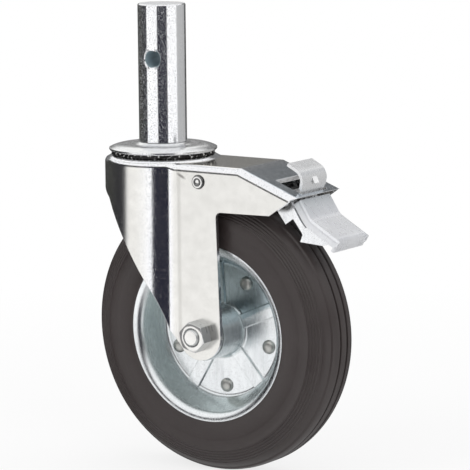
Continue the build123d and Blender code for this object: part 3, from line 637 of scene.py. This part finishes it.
def addPiece(name, parts, body, slot, node, sharp=35):
    # parts are (points, faces) pairs that make one object; edges steeper than sharp stay crisp
    points, faces = [], []
    for somePoints, someFaces in parts:
        first = len(points)
        points += somePoints
        faces += [tuple(first + i for i in face) for face in someFaces]
    mesh = bpy.data.meshes.new(name)
    mesh.from_pydata(points, [], faces)
    outward = bmesh.new()
    outward.from_mesh(mesh)
    bmesh.ops.recalc_face_normals(outward, faces=outward.faces)
    outward.to_mesh(mesh)
    outward.free()
    mesh.shade_smooth()
    mesh.set_sharp_from_angle(angle=radians(sharp))
    piece = bpy.data.objects.new(name, mesh)
    bpy.context.scene.collection.objects.link(piece)
    mesh.materials.append(finishes[slot])
    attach(piece, body)
    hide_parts(node)
    print(name, len(faces), "faces")


axle = (wheel["x"], wheel["z"])

# Tyre: grooved tread, a crease on each shoulder and fine moulded ridges down the side
tyre = {
    "steps": 288,
    "groove": (3.3, 5.1),
    "grooveDepth": 1.4,
    "grooveLip": (0.35, 0.1, 0.12),  # where the lip starts and ends before the groove, and its drop
    "grooveDraft": 0.2,
    "crown": 6.0,
    "shoulder": 80.0,
    "shoulderSteps": 96,
    "crease": 13.0,
    "creaseDepth": 0.8,
    "creaseWidth": 0.55,
    "creaseRun": 4.5,
    "ridges": (84.0, 93.4),
    "ridgePitch": 1.88,
    "ridgeDepth": 0.60,
    "panel": (65.5, 76.5),
    "panelDepth": 0.16,
    "panelFall": 0.6,
    "panelLip": 0.05,
    "panelFoot": 0.5,
    "bead": 63.0,
    "rimSeat": 20.5,
    "rimWell": 59.5,
    "rimFloor": 49.5,
    "sharp": 50,
}


def shoulderStep(past):
    # steps down just past the crease, then runs back into the shoulder
    run = tyre["creaseWidth"] if past < 0 else tyre["creaseRun"]
    return tyre["creaseDepth"] * exp(-(past / run) ** 2)


def tyreSide():
    # radius and place along y, from the middle of the tread to the bead
    tread = wheel["tread"]
    near, far = tyre["groove"]
    base, draft = tread - tyre["grooveDepth"], tyre["grooveDraft"]
    lipStart, lipEnd, lipDrop = tyre["grooveLip"]
    rows = [(tread, 0), (tread, near - lipStart), (tread - lipDrop, near - lipEnd), (base, near + draft)]
    rows += [(base, far - draft), (tread - lipDrop, far + lipEnd), (tread, far + lipStart)]
    rise, run = tread - tyre["shoulder"], wheel["halfWidth"] - tyre["crown"]
    low, high = tyre["ridges"]
    for k in range(tyre["shoulderSteps"] + 1):
        turn = pi / 2 * k / tyre["shoulderSteps"]
        r, y = tyre["shoulder"] + rise * cos(turn), tyre["crown"] + run * sin(turn)
        r -= shoulderStep(y - tyre["crease"])
        if low < r < high:
            y -= tyre["ridgeDepth"] * (0.5 - 0.5 * cos(tau * (r - low) / tyre["ridgePitch"]))
        rows.append((r, y))
    low, high = tyre["panel"]
    side, fall = wheel["halfWidth"], tyre["panelFall"]
    panel, lip = side - tyre["panelDepth"], side - tyre["panelLip"]
    rows += [(high + fall, side), (high, lip), (high - fall, panel), (low + fall, panel)]
    rows += [(low, lip), (low - tyre["panelFoot"], side), (tyre["bead"], side)]
    rows += [(tyre["bead"], tyre["rimSeat"]), (tyre["rimWell"], tyre["rimSeat"])]
    return rows


halfTyre = tyreSide()
tyreRows = mirrored(halfTyre[1:]) + halfTyre + [(tyre["rimFloor"], 0)]
tyreMesh = turnedMesh(tyreRows, tyre["steps"], axle, loop=True)
addPiece("tyreTread", [tyreMesh], "wheel", "tyre_rubber", "tyre", tyre["sharp"])

# Axle nut and bolt: chamfered hexagons, a rolled thread at the near end
hexagon = {
    "flats": 19.0,
    "turn": 15.0,
    "chamferFrom": 9.35,
    "chamferSlope": 24.0,
    "backChamfer": 0.3,  # share of the front chamfer's drop
    "inset": 0.2,
}
thread = {
    "radius": 6.0, "pitch": 1.75, "depth": 0.95, "point": 1.1,
    "stop": -29.0, "end": -42.2, "step": 0.2, "runIn": 0.5,
}
nut = {"steps": 120, "outer": -41.0, "hole": 6.1, "sink": 6.9, "sinkDepth": 0.9, "sharp": 25}
bolt = {"steps": 120, "headEnd": 38.5, "foot": 0.2, "sharp": 30}
hexFoot = hexagon["flats"] / 2 - hexagon["inset"]


def hexRadius(angle):
    # the angle from the middle of the nearest of the six flats
    part = (degrees(angle) - hexagon["turn"] - 30) % 60 - 30
    return hexagon["flats"] / 2 / cos(radians(part))


def chamferDrop(angle):
    return (hexRadius(angle) - hexagon["chamferFrom"]) * tan(radians(hexagon["chamferSlope"]))


nutRows = [
    (nut["hole"], -forkHalf),
    (hexFoot, -forkHalf),
    (hexRadius, lambda angle: -forkHalf - hexagon["backChamfer"] * chamferDrop(angle)),
    (hexRadius, lambda angle: nut["outer"] + chamferDrop(angle)),
    (hexagon["chamferFrom"], nut["outer"]),
    (nut["sink"], nut["outer"]),
    (nut["hole"], nut["outer"] + nut["sinkDepth"]),
]
nutMesh = turnedMesh(nutRows, nut["steps"], axle, loop=True)
addPiece("axleNut", [nutMesh], "fork", "fastener_zinc", "axle_nut", nut["sharp"])


def threadRadius(along):
    # the thread dies away at the point
    point = thread["radius"] - thread["point"] + along - thread["end"]

    def radius(angle):
        phase = along / thread["pitch"] + angle / tau
        crest = abs(2 * (phase - floor(phase)) - 1)
        return min(thread["radius"] - thread["depth"] * crest, point)
    return radius


boltRows = [
    (hexagon["chamferFrom"], bolt["headEnd"]),
    (hexRadius, lambda angle: bolt["headEnd"] - chamferDrop(angle)),
    (hexRadius, forkHalf + bolt["foot"]),
    (hexFoot, forkHalf),
    (thread["radius"], forkHalf),
    (thread["radius"], thread["stop"] + thread["runIn"]),
]
threadSteps = round((thread["stop"] - thread["end"]) / thread["step"])
for k in range(threadSteps + 1):
    along = thread["stop"] + (thread["end"] - thread["stop"]) * k / threadSteps
    boltRows.append((threadRadius(along), along))
boltMesh = turnedMesh(boltRows, bolt["steps"], axle)
addPiece("axleBolt", [boltMesh], "fork", "fastener_zinc", "axle_bolt", bolt["sharp"])

# Brake pivot: a rivet with a rounded head and a dimple at each end, as (radius, rise) pairs
pivotPin = {
    "steps": 72,
    "shank": 3.0,
    "head": [(4.65, 0.0), (4.65, 1.1), (4.5, 1.5), (4.2, 1.72), (3.85, 1.8), (3.0, 1.8), (2.75, 1.72)],
    "dimple": [(2.4, 1.3), (1.8, 1.05), (1.0, 0.92), (0.25, 0.88)],
}
headRows = [(r, forkHalf + rise) for r, rise in pivotPin["head"] + pivotPin["dimple"]]
shankRows = [(pivotPin["shank"], -forkHalf), (pivotPin["shank"], forkHalf)]
pinRows = mirrored(headRows) + shankRows + headRows
pinMesh = turnedMesh(pinRows, pivotPin["steps"], (pivot["x"], pivot["z"]))
addPiece("pivotPin", [pinMesh], "fork", "fastener_zinc", "brake_pivot_pin")

# Rim rivets: five, domed on both faces of the web
rivet = {
    "count": 5,
    "turn": 59.0,
    "circle": 40.2,
    "shank": 3.0,
    "web": 2.0,
    "dome": [(5.0, 0.0), (5.0, 0.5), (4.75, 1.15), (4.2, 1.75), (3.3, 2.2), (2.2, 2.47), (1.1, 2.58),
             (0.3, 2.6)],
    "steps": 48,
}
dome = [(r, rivet["web"] + rise) for r, rise in rivet["dome"]]
rivetRows = mirrored(dome) + [(rivet["shank"], -rivet["web"]), (rivet["shank"], rivet["web"])] + dome
rivets = []
for k in range(rivet["count"]):
    angle = radians(rivet["turn"] + 360 * k / rivet["count"])
    place = (wheel["x"] + rivet["circle"] * cos(angle), wheel["z"] + rivet["circle"] * sin(angle))
    rivets.append(turnedMesh(rivetRows, rivet["steps"], place))
addPiece("rimRivets", rivets, "wheel", "rivet_zinc", "rim_rivets")

# Floor: pale, keeps the castor's soft shadow and fades to the white round it, in metres
floorLook = {
    "radius": 1.6,
    "segments": 96,
    "height": cadBox[0][2] - 0.0002,
    "colour": (0.9, 0.9, 0.9),
    "rough": 0.9,
    "shadow": 0.22,
    "fade": (0.25, 0.75),
}


def makeFloor():
    mesh = bpy.data.meshes.new("floor")
    disc = bmesh.new()
    size, segments = floorLook["radius"], floorLook["segments"]
    bmesh.ops.create_circle(disc, cap_ends=True, radius=size, segments=segments)
    disc.to_mesh(mesh)
    disc.free()
    slab = bpy.data.objects.new("floor", mesh)
    bpy.context.scene.collection.objects.link(slab)
    slab.location = (wheel["x"] * mm, 0, floorLook["height"])
    slab.visible_glossy = False
    material, tree, shader = blankMaterial("floorWhite")
    shader.inputs["Base Color"].default_value = (*floorLook["colour"], 1)
    shader.inputs["Roughness"].default_value = floorLook["rough"]
    glow = tree.nodes.new("ShaderNodeEmission")
    mix = tree.nodes.new("ShaderNodeMixShader")
    ray = tree.nodes.new("ShaderNodeLightPath")
    coords = tree.nodes.new("ShaderNodeTexCoord")
    reach = tree.nodes.new("ShaderNodeVectorMath")
    reach.operation = "LENGTH"
    tree.links.new(coords.outputs["Object"], reach.inputs[0])
    lit = spread(tree, reach.outputs["Value"], 1 - floorLook["shadow"], 1, *floorLook["fade"])
    tree.links.new(times(tree, lit, ray.outputs["Is Camera Ray"]), mix.inputs[0])
    tree.links.new(shader.outputs[0], mix.inputs[1])
    tree.links.new(glow.outputs[0], mix.inputs[2])
    tree.links.new(mix.outputs[0], tree.nodes["Material Output"].inputs["Surface"])
    mesh.materials.append(material)


makeFloor()

# Studio: a white room with black cards, which bright metal shows as bands. Angles are degrees.
# walls are (azimuth, strength) at and below the horizon, sky and back are (elevation, strength),
# and each card is (start, stop, how softly it fades) up and round, with its strength.
studio = {
    "walls": [
        (-180, (0.04, 0.04, 0.036)), (-135, (0.022, 0.022, 0.030)), (-133.5, 1.1), (-79, 1.1),
        (-77.5, (0.020, 0.020, 0.032)), (-31.5, (0.022, 0.022, 0.034)), (-30, 1.1), (18, 1.1), (22, 0.50),
        (79, 0.46), (85, 0.06), (180, (0.04, 0.04, 0.036)),
    ],
    "sky": [(-90, 0.65), (-32, 0.70), (-20, 1.0), (90, 1.0)],
    "skyFrom": (15, 19),
    "groundFrom": (-26, -40),
    "back": [(-90, 0.05), (2, 0.17), (10, 0.21), (27, 0.16), (30, 0.24), (34, 0.72), (46, 1.0), (90, 1.0)],
    "backFrom": (-2, 2),
    "backAround": [(-180, 0), (82, 0), (90, 1), (152, 1), (166, 0), (180, 0)],
    "cards": [
        {"elevation": (0, 16, 1.5), "azimuth": (-134, 18, 3), "strength": (0.03, 0.03, 0.035)},
        {"elevation": (19, 60, 4), "azimuth": (119, 176, 4), "strength": (1.0, 1.0, 0.99)},
        {"elevation": (20, 34, 5), "azimuth": (48, 74, 8), "strength": (0.40, 0.41, 0.43)},
    ],
    "softLight": (0.72, 0.72, 0.72),
}


def turnStops(stops, full):
    # angles from -full/2 to full/2 become places from 0 to 1
    return [((angle + full / 2) / full, strength) for angle, strength in stops]


def makeStudio():
    world = bpy.data.worlds.new("studio")
    bpy.context.scene.world = world
    world.use_nodes = True
    tree = world.node_tree
    ray = tree.nodes.new("ShaderNodeLightPath")
    x, y, z = axes(tree, "Generated")
    azimuth = turnRound(tree, x, y)
    elevation = times(tree, maths(tree, "ARCSINE", z), 180 / pi)
    around = spread(tree, azimuth, 0, 1, -180, 180)
    height = spread(tree, elevation, 0, 1, -90, 90)
    walls = ramp(tree, around, turnStops(studio["walls"], 360))
    sky = ramp(tree, height, turnStops(studio["sky"], 180))
    back = ramp(tree, height, turnStops(studio["back"], 180))
    behind = ramp(tree, around, turnStops(studio["backAround"], 360))
    over = spread(tree, elevation, 0, 1, *studio["skyFrom"])
    under = spread(tree, elevation, 0, 1, *studio["groundFrom"])
    room = blendColour(tree, maths(tree, "MAXIMUM", over, under), walls, sky)
    above = times(tree, behind, spread(tree, elevation, 0, 1, *studio["backFrom"]))
    room = blendColour(tree, above, room, back)
    for card in studio["cards"]:
        tall, wide = band(tree, elevation, *card["elevation"]), band(tree, azimuth, *card["azimuth"])
        room = blendColour(tree, times(tree, tall, wide), room, card["strength"])
    # the camera sees plain white, soft light falls on everything, and only metal shows the room
    seen = blendColour(tree, ray.outputs["Is Glossy Ray"], studio["softLight"], room)
    seen = blendColour(tree, ray.outputs["Is Camera Ray"], seen, white)
    seen = blendColour(tree, ray.outputs["Is Transmission Ray"], seen, white)
    tree.links.new(seen, tree.nodes["Background"].inputs["Color"])


makeStudio()
print("floor and studio made")

# Soft lamps, kept out of the reflections; places and sizes are metres, power is watts
lamps = {
    "keyLamp": {"place": (-0.7, -1.6, 1.3), "size": 1.1, "power": 9},
    "fillLamp": {"place": (1.7, -0.9, 0.7), "size": 1.2, "power": 5},
    "topLamp": {"place": (0.2, 0.3, 1.7), "size": 1.4, "power": 7},
}
lampAim = Vector((0.05, 0, -0.08))


def aimed(place, target):
    return (Vector(target) - Vector(place)).to_track_quat("-Z", "Y")


for name, lamp in lamps.items():
    light = bpy.data.lights.new(name, "AREA")
    light.size = lamp["size"]
    light.energy = lamp["power"]
    holder = bpy.data.objects.new(name, light)
    bpy.context.scene.collection.objects.link(holder)
    holder.location = lamp["place"]
    holder.rotation_euler = aimed(lamp["place"], lampAim).to_euler()
    holder.visible_glossy = False

# Camera: long lens, a little above the castor, from the front quarter; metres and degrees
camera = {
    "place": (1.21738, -1.73363, 0.26853),
    "target": (0.05851, 0.00314, -0.06376),
    "roll": -0.531,
    "lens": 229.93,
    "sensor": 36,
}
lens = bpy.data.cameras.new("camera")
lens.lens = camera["lens"]
lens.sensor_width = camera["sensor"]
stand = bpy.data.objects.new("camera", lens)
bpy.context.scene.collection.objects.link(stand)
look = aimed(camera["place"], camera["target"]).to_matrix().to_4x4()
roll = Matrix.Rotation(radians(camera["roll"]), 4, "Z")
stand.matrix_world = Matrix.Translation(camera["place"]) @ look @ roll
bpy.context.scene.camera = stand
bpy.context.scene.view_settings.view_transform = "Standard"
print("camera and lamps placed")
